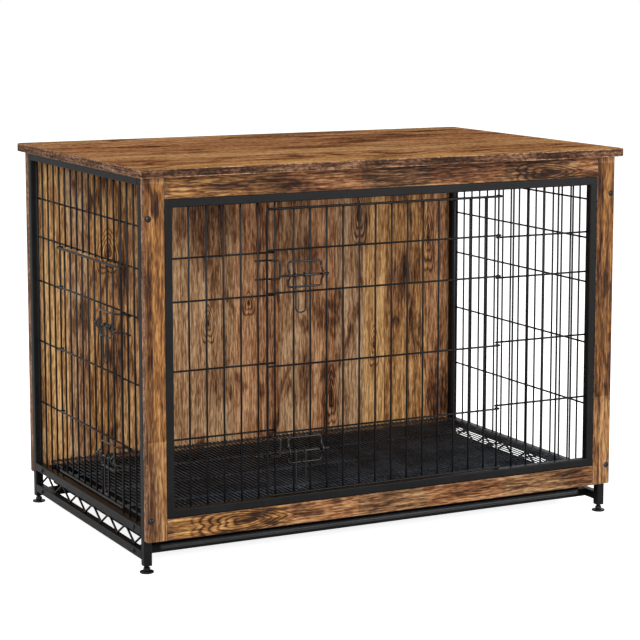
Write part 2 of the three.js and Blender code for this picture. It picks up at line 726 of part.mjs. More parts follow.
function addFasteners() {
  const bolt = fastener(boltRadius, boltHeadRadius, boltHeadHeight, boltLength, true);
  for (const corner of cornersOf) {
    for (const [level, height] of Object.entries(boltHeights)) {
      const mesh = add(`${corner.name}_bolt_${level}`, bolt, 'bolt');
      mesh.position.set(corner.x * postX, corner.y * (halfDepth + seatGap), height);
      mesh.rotation.x = corner.y < 0 ? Math.PI / 2 : -Math.PI / 2;
    }
  }
  const screw = fastener(screwRadius, screwHeadRadius, screwHeadHeight, screwLength, false);
  const rails = { upper: floorRailBottom + halfTube, lower: lowerRailBottom + halfTube };
  for (const corner of cornersOf) {
    for (const [level, height] of Object.entries(rails)) {
      const mesh = add(`${corner.name}_screw_${level}`, screw, 'bolt');
      mesh.position.set(corner.x * (halfLength + seatGap), corner.y * crossbarY, height);
      mesh.rotation.y = corner.x * Math.PI / 2;
    }
  }
}

// ---------- assembly ----------

addBoards();
addPosts();
addBase();
addWindowFrame();
addFrontGrids();
addSideGrids();
addDoor('front', frontPlace, doorBetween(
  frontFirst, frontLast, frontPitch, frontDoorOverlap,
  { bottom: windowBottom + tubeWidth + frontDoorLow, top: windowTop - tubeWidth - frontDoorHigh },
  frontLevels, frontDoorSteps, latchesAt(frontLevels, frontLatchWire, frontLatchRise)));
addDoor('side', leftPlace, doorBetween(
  sideFirst, sideLast, sidePitch, sideDoorOverlap,
  { bottom: floorRailTop + sideDoorLow, top: sideLevels.at(-sideDoorSteps.length - 1) - sideDoorHigh },
  sideLevels, sideDoorSteps, latchesAt(sideLevels, sideLatchWire, sideLatchRise)));
addFloor();
addTray();
addFeet();
addFasteners();

export default crate;
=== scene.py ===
import json
from math import cos, floor, pi, radians, sin

import bmesh
import bpy
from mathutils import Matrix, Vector

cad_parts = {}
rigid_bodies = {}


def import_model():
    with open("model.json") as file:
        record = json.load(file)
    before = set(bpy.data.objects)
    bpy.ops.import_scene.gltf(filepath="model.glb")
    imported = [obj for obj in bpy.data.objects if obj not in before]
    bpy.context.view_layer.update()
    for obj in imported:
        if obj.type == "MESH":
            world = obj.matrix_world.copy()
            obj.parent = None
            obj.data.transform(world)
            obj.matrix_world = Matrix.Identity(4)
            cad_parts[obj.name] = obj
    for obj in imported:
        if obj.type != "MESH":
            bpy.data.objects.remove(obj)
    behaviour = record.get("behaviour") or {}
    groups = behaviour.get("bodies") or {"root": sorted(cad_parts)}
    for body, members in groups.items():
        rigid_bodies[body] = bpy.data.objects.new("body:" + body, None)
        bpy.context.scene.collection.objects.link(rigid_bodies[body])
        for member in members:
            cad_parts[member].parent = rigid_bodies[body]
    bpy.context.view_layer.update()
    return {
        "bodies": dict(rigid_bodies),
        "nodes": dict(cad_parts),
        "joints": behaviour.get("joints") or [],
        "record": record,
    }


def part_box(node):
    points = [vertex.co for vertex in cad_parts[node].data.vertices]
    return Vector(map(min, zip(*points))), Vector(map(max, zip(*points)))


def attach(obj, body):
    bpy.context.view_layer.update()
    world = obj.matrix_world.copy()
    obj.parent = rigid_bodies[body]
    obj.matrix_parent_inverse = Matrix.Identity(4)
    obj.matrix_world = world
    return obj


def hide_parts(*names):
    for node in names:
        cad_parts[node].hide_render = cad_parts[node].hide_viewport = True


print("loading the packed crate")
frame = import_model()
mm = 0.001


def mathNode(operation, reflected=False):  # makes a method that adds one Math node
    def method(self, other):
        first, second = (other, self) if reflected else (self, other)
        return self.graph.add("ShaderNodeMath", {"operation": operation}, {0: first, 1: second})
    return method


class Wire:  # one output socket, usable in sums
    def __init__(self, graph, node, socket):
        self.graph, self.node, self.socket = graph, node, socket

    __add__, __radd__ = mathNode("ADD"), mathNode("ADD", reflected=True)
    __sub__, __rsub__ = mathNode("SUBTRACT"), mathNode("SUBTRACT", reflected=True)
    __mul__, __rmul__ = mathNode("MULTIPLY"), mathNode("MULTIPLY", reflected=True)
    __truediv__, __rtruediv__ = mathNode("DIVIDE"), mathNode("DIVIDE", reflected=True)
    __pow__, __rpow__ = mathNode("POWER"), mathNode("POWER", reflected=True)
    most = mathNode("MAXIMUM")

    def pick(self, name):  # another output of the same node
        return Wire(self.graph, self.node, self.node.outputs[name])

    def fade(self, low, high):  # smooth step, 0 at low and 1 at high
        return self.graph.add("ShaderNodeMapRange", {"interpolation_type": "SMOOTHSTEP"},
                              {"Value": self, "From Min": low, "From Max": high})

    def swing(self, weight):  # a 0 to 1 value as a shift to either side
        return (self - 0.5) * weight


class Graph:  # a material or world being wired up
    def __init__(self, owner):
        owner.use_nodes = True
        self.owner, self.tree = owner, owner.node_tree
        self.tree.nodes.clear()

    def add(self, kind, settings=None, sockets=None, out=0):
        node = self.tree.nodes.new(kind)
        for key, value in (settings or {}).items():
            if key == "stops":
                self.setStops(node.color_ramp, value)
            else:
                setattr(node, key, value)
        for key, value in (sockets or {}).items():
            if isinstance(value, Wire):
                self.tree.links.new(value.socket, node.inputs[key])
            else:
                node.inputs[key].default_value = value
        return Wire(self, node, node.outputs[out]) if node.outputs else node

    def setStops(self, ramp, stops):
        while len(ramp.elements) > 1:
            ramp.elements.remove(ramp.elements[-1])
        for index, (place, tone) in enumerate(stops):
            stop = ramp.elements[0] if index == 0 else ramp.elements.new(place)
            stop.position, stop.color = place, tone

    def noise(self, vector, detail=3.0, roughness=0.55, scale=1.0, distortion=0.0):
        return self.add("ShaderNodeTexNoise", None,
                        {"Vector": vector, "Scale": scale, "Detail": detail, "Roughness": roughness,
                         "Distortion": distortion})

    def strips(self, across, perMetre, randomness):  # three random values for each strip
        cells = self.add("ShaderNodeTexVoronoi", {"voronoi_dimensions": "1D", "feature": "F1"},
                         {"W": across, "Scale": perMetre, "Randomness": randomness}, out="Color")
        split = self.add("ShaderNodeSeparateColor", None, {"Color": cells})
        return split.pick("Red"), split.pick("Green"), split.pick("Blue")

    def point(self, x, y, z):
        return self.add("ShaderNodeCombineXYZ", None, {"X": x, "Y": y, "Z": z})

    def blend(self, factor, first, second, mode="MIX"):
        return self.add("ShaderNodeMix", {"data_type": "RGBA", "blend_type": mode, "clamp_result": False},
                        {0: factor, 6: first, 7: second}, out=2)

    def bump(self, height, strength, distance):
        return self.add("ShaderNodeBump", None,
                        {"Strength": strength, "Distance": distance, "Height": height})

    def place(self):  # object coordinates, together and as three numbers
        where = self.add("ShaderNodeTexCoord", out="Object")
        split = self.add("ShaderNodeSeparateXYZ", None, {"Vector": where})
        return {"X": split.pick("X"), "Y": split.pick("Y"), "Z": split.pick("Z"), "all": where}

    def surface(self, sockets):
        body = self.add("ShaderNodeBsdfPrincipled", None, sockets)
        self.add("ShaderNodeOutputMaterial", None, {"Surface": body})
        return self.owner


def colour(red, green, blue):  # from 0-255 screen values, by the sRGB curve
    def linear(value):
        value /= 255
        return value / 12.92 if value <= 0.04045 else ((value + 0.055) / 1.055) ** 2.4
    return (linear(red), linear(green), linear(blue), 1.0)


white = (1.0, 1.0, 1.0, 1.0)
woodLook = {
    # each layer: how often it repeats in a metre along and across the grain, and its weight
    "streak": (4.0, 50.0, 0.2), "fibre": (11.0, 260.0, 0.26), "speck": (55.0, 400.0, 0.3),
    "smudge": (6.0, 15.0, 0.3), "ring": (2.2, 12.0, 0.3),
    "through": 40.0,                               # repeats in a metre through the board
    "ringCount": 8.0, "knot": 0.46,                # growth rings in one swing, and the knots' weight
    "planks": 21.0, "plank": 0.22, "sway": 0.005,  # planks to the metre, their weight, how far seams wander
    "joints": 0.0, "joint": 0.2,                   # cross joints to the metre and their weight
    "swayGrain": (1.6, 4.0), "tornGrain": (16.0, 45.0),  # repeats in a metre of the seams and the torn edges
    "ragged": 1.1, "knotRagged": 0.12,             # how far the edges of stains and knots are torn
    "lift": 0.58,                                  # middle tone
    "stops": [
        (0.0, colour(38, 22, 14)), (0.2, colour(72, 43, 26)), (0.4, colour(110, 71, 42)),
        (0.55, colour(142, 98, 61)), (0.74, colour(172, 129, 87)), (1.0, colour(212, 172, 126))],
    "grey": (0.76, 0.78, 0.84, 1.0), "red": (1.05, 0.9, 0.82, 1.0), "gold": (1.14, 1.03, 0.74, 1.0),
    "tint": white, "roughness": 0.52, "polish": 0.16, "shine": 0.1,
    "bump": 0.12, "bumpDepth": 0.5 * mm, "marks": [],
}


def woodGrain(name, along, across, seed=0.0, **changes):
    look = {**woodLook, **changes}
    graph = Graph(bpy.data.materials.new(name))
    place = graph.place()
    depth = next(axis for axis in "XYZ" if axis not in (along, across))
    run, side, deep = place[along] + seed, place[across] + seed * 0.37, place[depth]
    through = deep * look["through"] + seed

    def spread(layer, shift=0.0, low=0.36, high=0.64, detail=2.0, distortion=0.0):  # noise from 0 to 1
        lengthwise, sideways, weight = look[layer]
        spot = graph.point((run + shift) * lengthwise, side * sideways, through)
        return graph.noise(spot, detail=detail, roughness=0.6, distortion=distortion).fade(low, high)

    def wave(value):  # rings, from 0 to 1 and back
        return graph.add("ShaderNodeMath", {"operation": "SINE"}, {0: value * (2 * pi)}) * 0.5 + 0.5

    lengthwise, sideways = look["swayGrain"]
    sway = graph.noise(graph.point(run * lengthwise, side * sideways, seed), detail=2.0) - 0.5
    first, second, third = graph.strips(side + sway * look["sway"], look["planks"], randomness=0.8)
    shift = first * 13.0  # each plank is cut from another part of the grain

    smudge = spread("smudge", shift * 0.1, 0.54, 0.72, detail=3.0, distortion=0.8)
    lengthwise, sideways, ringWeight = look["ring"]
    field = graph.noise(graph.point((run + shift) * lengthwise, side * sideways + sway * 2.0, seed),
                        detail=1.0, roughness=0.35)
    lines = wave(field * look["ringCount"]) ** 4.0 * second.fade(0.5, 0.6)
    knots = 0.0
    lengthwise, sideways = look["tornGrain"]
    torn = graph.noise(graph.point(run * lengthwise, side * sideways, seed), detail=3.0, roughness=0.65)
    ragged = torn.swing(look["ragged"])
    for kind, at, size, weight, count in look["marks"]:
        down, over = (place[along] - at[0]) / size[0], (place[across] - at[1]) / size[1]
        if kind == "knot":
            lean = down + over.most(over * -1.0) * 0.5  # pointed at one end
            reach = (lean * lean + over * over) ** 0.5 + ragged * look["knotRagged"]
            ripple = wave(reach * count) ** 2.5 * reach.fade(1.0, 0.8) + reach.fade(0.3, 0.08)
            lines = lines * reach.fade(0.8, 1.2)
            knots = ripple * weight + knots
        else:
            # Marks that are not knots darken through the smudge mask: some are real blotches, some painted
            # shadow.
            stain = ((down * down + over * over) ** 0.5 + ragged).fade(1.05, 0.2)
            smudge = smudge.most(stain * weight)

    layers = {"streak": spread("streak", shift, detail=4.0, distortion=0.3), "fibre": spread("fibre", shift),
              "speck": spread("speck", detail=1.0)}
    tone = look["lift"] + first.swing(look["plank"]) - smudge * look["smudge"][2] - lines * ringWeight
    tone = tone - knots * look["knot"]
    for layer, pattern in layers.items():
        tone = tone + pattern.swing(look[layer][2])
    if look["joints"]:
        board, third = graph.strips(run + sway * 0.02, look["joints"], randomness=0.9)[:2]
        tone = tone + board.swing(look["joint"])
    base = graph.add("ShaderNodeValToRGB", {"stops": look["stops"]}, {"Fac": tone})
    grey = graph.blend(smudge * 0.85, base, look["grey"], "MULTIPLY")
    red = graph.blend(third.fade(0.5, 0.1), grey, look["red"], "MULTIPLY")
    gold = graph.blend(third.fade(0.5, 0.75) * (1.0 - smudge), red, look["gold"], "MULTIPLY")
    tinted = graph.blend(1.0, gold, look["tint"], "MULTIPLY")
    return graph.surface({"Base Color": tinted,
                          "Roughness": look["roughness"] + (0.5 - tone) * look["polish"],
                          "Specular IOR Level": look["shine"],
                          "Normal": graph.bump(tone, look["bump"], look["bumpDepth"])})


topMarks = [  # kind, where along and across the grain, half its size, weight and rings
    ("stain", (0.24, 0.15), (0.17, 0.075), 0.75, 0), ("stain", (0.02, 0.23), (0.14, 0.05), 0.6, 0),
    ("stain", (-0.02, -0.02), (0.16, 0.05), 0.55, 0), ("stain", (0.12, 0.28), (0.2, 0.06), 0.5, 0)]
railMarks = [
    ("knot", (-0.288, 0.076), (0.105, 0.03), 0.9, 7), ("stain", (-0.262, 0.088), (0.035, 0.014), 0.7, 0),
    ("stain", (0.405, 0.078), (0.06, 0.02), 0.7, 0), ("stain", (0.215, 0.668), (0.03, 0.014), 0.9, 0),
    # The long mark at 0.672 across darkens the top rail's upper edge under the top board: painted shadow.
    ("knot", (0.335, 0.66), (0.08, 0.022), 0.7, 5), ("stain", (0.02, 0.672), (0.62, 0.05), 0.62, 0)]
stileMarks = [
    ("stain", (0.36, -0.4655), (0.42, 0.007), 0.5, 0), ("stain", (0.15, -0.463), (0.05, 0.008), 0.8, 0),
    ("stain", (0.13, -0.466), (0.16, 0.03), 0.7, 0),
    ("stain", (0.44, 0.462), (0.12, 0.007), 0.4, 0), ("stain", (0.2, 0.45), (0.06, 0.006), 0.5, 0)]
panelMarks = [
    ("knot", (0.487, -0.314), (0.05, 0.028), 1.0, 5), ("stain", (0.42, -0.285), (0.055, 0.03), 0.8, 0),
    # The marks at 0.57 to 0.6 along the grain darken the panel's top under the top board: painted shadow.
    ("stain", (0.36, -0.37), (0.05, 0.024), 0.8, 0), ("stain", (0.57, -0.1), (0.16, 0.1), 1.0, 0),
    ("stain", (0.6, 0.1), (0.08, 0.06), 0.7, 0), ("stain", (0.58, 0.34), (0.045, 0.03), 0.8, 0),
    ("knot", (0.36, -0.01), (0.03, 0.017), 0.9, 3), ("knot", (0.325, -0.1), (0.045, 0.018), 0.9, 4),
    ("knot", (0.25, 0.28), (0.05, 0.016), 0.9, 4),
    ("knot", (0.535, 0.245), (0.075, 0.02), 1.0, 5), ("knot", (0.15, 0.18), (0.08, 0.022), 0.9, 5),
    ("knot", (0.47, 0.41), (0.08, 0.018), 0.9, 4), ("stain", (0.2, 0.12), (0.08, 0.035), 0.7, 0),
    ("stain", (0.39, 0.35), (0.09, 0.04), 0.6, 0), ("stain", (0.45, 0.13), (0.07, 0.045), 0.6, 0),
    ("stain", (0.25, -0.3), (0.11, 0.03), 0.6, 0), ("stain", (0.2, -0.08), (0.06, 0.03), 0.5, 0)]


edgeLook = {
    # each layer: how often it repeats in a metre along and across the edge, and its weight
    "streak": (16.0, 240.0, 0.44), "speck": (140.0, 300.0, 0.4), "patch": (9.0, 20.0, 0.3),
    "low": 0.34, "high": 0.66,  # the part of the noise that is spread over the full range
    "roughness": 0.6, "polish": 0.1, "shine": 0.1, "bump": 0.12, "bumpDepth": 0.4 * mm,
    "stops": [(0.0, colour(42, 26, 17)), (0.3, colour(74, 49, 34)), (0.55, colour(106, 74, 52)),
              (0.8, colour(140, 104, 80)), (1.0, colour(182, 142, 114))],
}


def edgeBand(name, along, seed=0.0, lift=0.48):
    look, graph = edgeLook, Graph(bpy.data.materials.new(name))
    place = graph.place()
    run = place[along]
    side, deep = [place[axis] for axis in "XYZ" if axis != along]
    tone = lift
    for layer, detail, roughness, ahead, inwards in (
            ("streak", 3.0, 0.65, seed, 0.0), ("speck", 1.5, 0.6, 0.0, 0.0), ("patch", 2.0, 0.55, 0.0, seed)):
        lengthwise, sideways, weight = look[layer]
        spot = graph.point(run * lengthwise + ahead, side * sideways, deep * sideways + inwards)
        pattern = graph.noise(spot, detail=detail, roughness=roughness)
        tone = pattern.fade(look["low"], look["high"]).swing(weight) + tone
    base = graph.add("ShaderNodeValToRGB", {"stops": look["stops"]}, {"Fac": tone})
    return graph.surface({"Base Color": base,
                          "Roughness": look["roughness"] + (0.5 - tone) * look["polish"],
                          "Specular IOR Level": look["shine"],
                          "Normal": graph.bump(tone, look["bump"], look["bumpDepth"])})


coatLooks = {  # darkest and lightest tone, roughness and shine, and metal where it shows
    "steel": {"dark": colour(8, 8, 9), "light": colour(17, 17, 18), "roughness": 0.42, "shine": 0.16},
    "wire": {"dark": colour(7, 7, 8), "light": colour(13, 13, 14), "roughness": 0.3, "shine": 0.16},
    "latch": {"dark": colour(4, 4, 5), "light": colour(10, 10, 12), "roughness": 0.16, "shine": 0.4},
    # The floor grid's black wire is set grey and cool: painted highlight for the glints on its wires, cooled
    # to offset the brown reflected from the panel.
    "mesh": {"dark": colour(34, 38, 44), "light": colour(74, 80, 88), "roughness": 0.45, "shine": 0.16},
    "tray": {"dark": colour(7, 8, 10), "light": colour(14, 16, 19), "roughness": 0.5, "shine": 0.06},
    # The tray's front lip is the tray's own black made lighter: painted highlight on its rounded edge.
    "lip": {"dark": colour(32, 33, 35), "light": colour(50, 51, 54), "roughness": 0.4, "shine": 0.4},
    "foot": {"dark": colour(9, 9, 10), "light": colour(18, 18, 19), "roughness": 0.42, "shine": 0.3},
    "bolt": {"dark": colour(24, 24, 27), "light": colour(62, 62, 66), "roughness": 0.26, "shine": 0.5,
             "metal": 0.7},
}
coatSkin = {  # repeats in a metre, and how far the wear shows in the gloss
    "pebble": 1800.0, "cloud": 14.0, "wear": 120.0, "polish": 0.2, "bump": 0.35, "bumpDepth": 0.05 * mm,
}


def coating(name):
    look, skin = coatLooks[name], coatSkin
    graph = Graph(bpy.data.materials.new(name))
    place = graph.place()["all"]
    pebble = graph.noise(place, scale=skin["pebble"], detail=2.0, roughness=0.6)
    cloud = graph.noise(place, scale=skin["cloud"], detail=3.0, roughness=0.6)
    wear = graph.noise(place, scale=skin["wear"], detail=3.0, roughness=0.7)
    shade = graph.blend((cloud * 0.5 + wear * 0.5).fade(0.38, 0.62), look["dark"], look["light"])
    return graph.surface({"Base Color": shade, "Roughness": look["roughness"] + wear.swing(skin["polish"]),
                          "Metallic": look.get("metal", 0.0), "Specular IOR Level": look["shine"],
                          "Normal": graph.bump(pebble, skin["bump"], skin["bumpDepth"])})


print("mixing finishes")
faintRing = (2.2, 12.0, 0.18)
finish = {
    "topWood": woodGrain("topWood", "X", "Y", 3.1, streak=(4.0, 60.0, 0.2), fibre=(14.0, 260.0, 0.22),
                         speck=(90.0, 360.0, 0.3), planks=10.0, plank=0.16, smudge=(4.0, 7.0, 0.3),
                         lift=0.59, tint=(1.02, 1.12, 1.3, 1.0), shine=0.0, marks=topMarks),
    "railWood": woodGrain("railWood", "X", "Z", 7.4, streak=(4.5, 60.0, 0.14), planks=26.0, plank=0.16,
                          joints=6.0, ring=faintRing, lift=0.5, tint=(1.0, 1.15, 1.3, 1.0), marks=railMarks),
    "stileWood": woodGrain("stileWood", "Z", "X", 1.7, streak=(4.5, 60.0, 0.12), planks=60.0, plank=0.1,
                           joints=2.0, ring=faintRing, lift=0.495, fibre=(11.0, 260.0, 0.2),
                           speck=(55.0, 400.0, 0.22), tint=(1.02, 1.15, 1.32, 1.0), marks=stileMarks),
    # The panel's high lift and tint set it lighter than the other boards: partly to make up for its darker
    # marks and rings, partly painted light against the shade inside the crate.
    "panelWood": woodGrain("panelWood", "Z", "X", 5.2, streak=(3.2, 38.0, 0.16), planks=17.0, plank=0.24,
                           lift=0.7, ring=(2.2, 12.0, 0.26), smudge=(6.0, 15.0, 0.36),
                           tint=(1.1, 1.2, 1.4, 1.0), marks=panelMarks),
    # The edge band is one finish in copies whose lift differs by the way the face turns; the lighter copies
    # on faces turned to the sides are painted light from the left.
    "edgeAlongX": edgeBand("edgeAlongX", "X", lift=0.27),
    "litEdgeAlongY": edgeBand("litEdgeAlongY", "Y", 2.0, lift=0.5),
    "litEdgeAlongZ": edgeBand("litEdgeAlongZ", "Z", 4.0, lift=0.66),
    # The rounded arrises take a lighter tone: painted highlight.
    "arrisHighlight": edgeBand("arrisHighlight", "X", 6.0, lift=0.66),
    **{name: coating(name) for name in coatLooks},
}


def circle(centre, across, other, radius, sides):
    turns = [2 * pi * i / sides for i in range(sides)]
    return [centre + radius * (across * cos(turn) + other * sin(turn)) for turn in turns]


def roundedRing(low, high, axis, level, corner, steps):  # a box's outline across one axis, corners rounded
    a, b = [i for i in range(3) if i != axis]
    near, far = (low[a] + corner, low[b] + corner), (high[a] - corner, high[b] - corner)
    ring = []
    for middle, begin in ((far, 0), ((near[0], far[1]), pi / 2), (near, pi), ((far[0], near[1]), 1.5 * pi)):
        for i in range(steps + 1):
            turn = begin + (pi / 2) * i / steps
            point = Vector((0, 0, 0))
            point[axis] = level
            point[a], point[b] = middle[0] + corner * cos(turn), middle[1] + corner * sin(turn)
            ring.append(point)
    return ring


tubeLook = {"width": 15 * mm, "corner": 1.8 * mm, "cornerSteps": 3}  # the frame's square tube
wireTip = 0.35  # how far a wire's end is rounded, in radii
pointRadius = 0.001 * mm  # stands for a turned piece's point


class Shape:  # gathers faces, each with its finish
    def __init__(self):
        self.points, self.faces, self.looks, self.smooth = [], [], [], []

    def face(self, corners, look, smooth=False):
        self.faces.append(corners)
        self.looks.append(look)
        self.smooth.append(smooth)

    def rings(self, rings, look, smooth=True, loop=False, capped=True):  # skins a row of equal rings
        start, size = len(self.points), len(rings[0])
        for ring in rings:
            self.points.extend(ring)
        for row in range(len(rings) if loop else len(rings) - 1):
            here, there = start + row * size, start + ((row + 1) % len(rings)) * size
            for i in range(size):
                j = (i + 1) % size
                self.face((here + i, here + j, there + j, there + i), look, smooth)
        if capped and not loop:
            last = start + (len(rings) - 1) * size
            self.face(tuple(start + i for i in reversed(range(size))), look)
            self.face(tuple(last + i for i in range(size)), look)

    def tube(self, path, radius, look="wire", sides=10, loop=False, tip=wireTip):  # round wire along a path
        path = [Vector(point) for point in path]
        count = len(path)

        def heading(i):
            before = path[i - 1] if i or loop else path[0]
            after = path[(i + 1) % count] if i < count - 1 or loop else path[-1]
            return (after - before).normalized()

        previous = heading(0)
        across = previous.orthogonal().normalized()
        frames = []
        for i, point in enumerate(path):
            ahead = heading(i)
            across = (previous.rotation_difference(ahead) @ across).normalized()
            previous = ahead
            frames.append((point, across.copy(), ahead.cross(across)))
        made = [circle(*frame, radius, sides) for frame in frames]
        if not loop:
            for end, inwards in ((0, heading(0)), (-1, -heading(count - 1))):
                centre, first, second = frames[end]
                made[end] = circle(centre + inwards * radius * tip, first, second, radius, sides)
                small = circle(centre, first, second, radius * (1 - tip), sides)
                made.insert(0 if end == 0 else len(made), small)
        self.rings(made, look, loop=loop)

    def bar(self, low, high, axis):  # square tube with rounded edges
        self.rings([roundedRing(low, high, axis, end, tubeLook["corner"], tubeLook["cornerSteps"])
                    for end in (low[axis], high[axis])], "steel", smooth=False)

    def turned(self, profile, centre, axis, look, sides=28):  # each stretch of the profile keeps its own edge
        axis = Vector(axis).normalized()
        across = axis.orthogonal().normalized()
        other = axis.cross(across)
        for ends in zip(profile, profile[1:]):
            self.rings([circle(Vector(centre) + axis * height, across, other, max(radius, pointRadius), sides)
                        for radius, height in ends], look, capped=False)

    def bead(self, centre, radius, sides=8, rows=4):  # weld where two wires cross
        turns = [2 * pi * i / sides for i in range(sides)]
        leans = [pi * (row + 0.5) / rows for row in range(rows)]
        self.rings([[centre + Vector((radius * sin(lean) * cos(turn), radius * sin(lean) * sin(turn),
                                      radius * cos(lean))) for turn in turns] for lean in leans], "wire")

    def piece(self, name, body, nodes):
        mesh = bpy.data.meshes.new(name)
        mesh.from_pydata([tuple(point) for point in self.points], [], self.faces)
        looks = sorted(set(self.looks))
        for look in looks:
            mesh.materials.append(finish[look])
        for polygon, look, smooth in zip(mesh.polygons, self.looks, self.smooth):
            polygon.material_index = looks.index(look)
            polygon.use_smooth = smooth
        builder = bmesh.new()
        builder.from_mesh(mesh)
        bmesh.ops.recalc_face_normals(builder, faces=builder.faces)
        builder.to_mesh(mesh)
        builder.free()
        made = bpy.data.objects.new(name, mesh)
        bpy.context.collection.objects.link(made)
        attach(made, body)
        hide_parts(*nodes)


def softened(points, radius, steps=4):  # rounds the inner corners of a path
    points = [Vector(point) for point in points]
    path = [points[0]]
    for before, point, after in zip(points, points[1:], points[2:]):
        back, ahead = before - point, after - point
        reach = min(radius, back.length / 2, ahead.length / 2)
        start, end = point + back.normalized() * reach, point + ahead.normalized() * reach
        for k in range(steps + 1):
            t = k / steps
            path.append(start * (1 - t) ** 2 + point * 2 * t * (1 - t) + end * t * t)
    path.append(points[-1])
    return [point for i, point in enumerate(path) if i == 0 or (point - path[i - 1]).length > 1e-5]


def corners(node):  # of a CAD node's box
    low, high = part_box(node)
    return Vector(low), Vector(high)


boardLook = {
    "arris": 0.9 * mm, "topArris": 1.6 * mm, "topCorner": 14 * mm, "cornerSteps": 8, "arrisSteps": 3,
    "sharp": 40,                # degrees, edges sharper than this are eased
    "broad": 0.95, "side": 0.2,  # above the first a face is the board's broad face, below the second its edge
}


def bevelled(name, low, high, arris, faceLook, edges, faceAxis, cornerRadius=0.0):
    size, middle = high - low, (high + low) / 2
    builder = bmesh.new()
    bmesh.ops.create_cube(builder, size=1.0)
    for vertex in builder.verts:
        vertex.co = vertex.co * size + middle
    if cornerRadius:
        upright = [edge for edge in builder.edges
                   if abs((edge.verts[0].co - edge.verts[1].co).normalized()[faceAxis]) > boardLook["broad"]]
        bmesh.ops.bevel(builder, geom=upright, offset=cornerRadius, segments=boardLook["cornerSteps"],
                        affect="EDGES", profile=0.5)
    sharp = [edge for edge in builder.edges
             if len(edge.link_faces) == 2 and edge.calc_face_angle() > radians(boardLook["sharp"])]
    bmesh.ops.bevel(builder, geom=sharp, offset=arris, segments=boardLook["arrisSteps"], affect="EDGES",
                    profile=0.5)
    mesh = bpy.data.meshes.new(name)
    # the last finish, on the rounded arrises, is a painted highlight
    for look in (faceLook, *edges, "arrisHighlight"):
        mesh.materials.append(finish[look])
    first, second = [axis for axis in range(3) if axis != faceAxis]
    for part in builder.faces:
        lean = [abs(value) for value in part.normal]
        part.smooth = True
        if lean[faceAxis] > boardLook["broad"]:
            part.material_index = 0
        elif lean[faceAxis] > boardLook["side"]:
            part.material_index = 3
        else:
            part.material_index = 1 if lean[second] >= lean[first] else 2
    builder.to_mesh(mesh)
    builder.free()
    made = bpy.data.objects.new(name, mesh)
    bpy.context.collection.objects.link(made)
    weighted = made.modifiers.new("keepFlats", "WEIGHTED_NORMAL")
    weighted.keep_sharp = True
    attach(made, "crate")
    return made


def makeBoards():
    top = bevelled("topBoard", *corners("top_board"), boardLook["topArris"], "topWood",
                   ("edgeAlongX", "litEdgeAlongY"), 2, boardLook["topCorner"])
    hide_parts("top_board")
    for name, node, look in (("leftStile", "front_stile_left", "stileWood"),
                             ("rightStile", "front_stile_right", "stileWood"),
                             ("topRail", "front_rail_top", "railWood"),
                             ("bottomRail", "front_rail_bottom", "railWood"),
                             ("rearPanel", "rear_panel", "panelWood")):
        made = bevelled(name, *corners(node), boardLook["arris"], look, ("edgeAlongX", "litEdgeAlongZ"), 1)
        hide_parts(node)


trussLook = {"radius": 2 * mm, "sides": 12, "bends": 14, "endMargin": 8 * mm, "bendRadius": 3 * mm,
             "sink": 0.6 * mm}
railHeights = {"lower": (22 * mm, 37 * mm), "floor": (64 * mm, 79 * mm)}  # bottom and top of the side rails
windowLap = 2 * mm  # how far the uprights of the window frame run into its rails


def makeTubes():
    for row in ("front", "rear"):
        for side in ("left", "right"):
            shape = Shape()
            shape.bar(*corners(f"{row}_{side}_post"), 2)
            shape.piece(f"{row}{side.title()}Post", "crate", [f"{row}_{side}_post"])
    for row in ("front", "rear"):
        for level in ("upper", "lower"):
            shape = Shape()
            shape.bar(*corners(f"{row}_{level}_crossbar"), 0)
            shape.piece(f"{row}{level.title()}Crossbar", "crate", [f"{row}_{level}_crossbar"])


def makeTrusses():
    radius, sink, count = trussLook["radius"], trussLook["sink"], trussLook["bends"]
    levels = (railHeights["lower"][1] + radius - sink, railHeights["floor"][0] - radius + sink)
    for side in ("left", "right"):
        low, high = corners(f"{side}_base_truss")
        shape = Shape()
        for bottom, top in railHeights.values():
            shape.bar((low.x, low.y, bottom), (high.x, high.y, top), 1)
        middle = (low.x + high.x) / 2
        reach = high.y - trussLook["endMargin"]
        bends = [Vector((middle, reach - 2 * reach * i / (count - 1), levels[i % 2])) for i in range(count)]
        shape.tube(softened(bends, trussLook["bendRadius"]), radius, sides=trussLook["sides"])
        shape.piece(f"{side}BaseTruss", "crate", [f"{side}_base_truss"])


def makeWindow():
    low, high = corners("window_frame")
    width = tubeLook["width"]
    bottom, top = low.z + width, high.z - width
    shape = Shape()
    shape.bar(low, (high.x, high.y, bottom), 0)
    shape.bar((low.x, low.y, top), high, 0)
    for left in (low.x, high.x - width):
        shape.bar((left, low.y, bottom - windowLap), (left + width, high.y, top + windowLap), 2)
    shape.piece("windowFrame", "crate", ["window_frame"])


gridLook = {
    "radius": 1.75 * mm, "bead": 1.9 * mm, "frontPitch": 32.5 * mm, "sidePitch": 30.75 * mm,
    "frontPlane": -290 * mm, "sidePlane": 466 * mm,  # where the upright wires stand
    "crossLayer": -2.36 * mm,                        # cross wires behind the uprights
    "tail": 3.25 * mm, "openingGap": 0.3 * mm,       # cross wires past the edge wire, and clear of it
    "railSink": 0.5 * mm,                            # uprights into the rail above them
    "frontLevels": (543.5, 468.5, 348.5, 229.5), "sideLevels": (597.5, 523.5, 438.5, 321, 201.5),  # in mm
    "frontOuter": 12, "sideOuter": 8.5, "frontDoor": (-7, 7), "sideDoor": (-5.5, 4.5),  # in pitches
}


def frontPlace(along, outward, height):
    return Vector((along, gridLook["frontPlane"] - outward, height))


def leftPlace(along, outward, height):
    return Vector((-gridLook["sidePlane"] - outward, along, height))


def rightPlace(along, outward, height):
    return Vector((gridLook["sidePlane"] + outward, along, height))


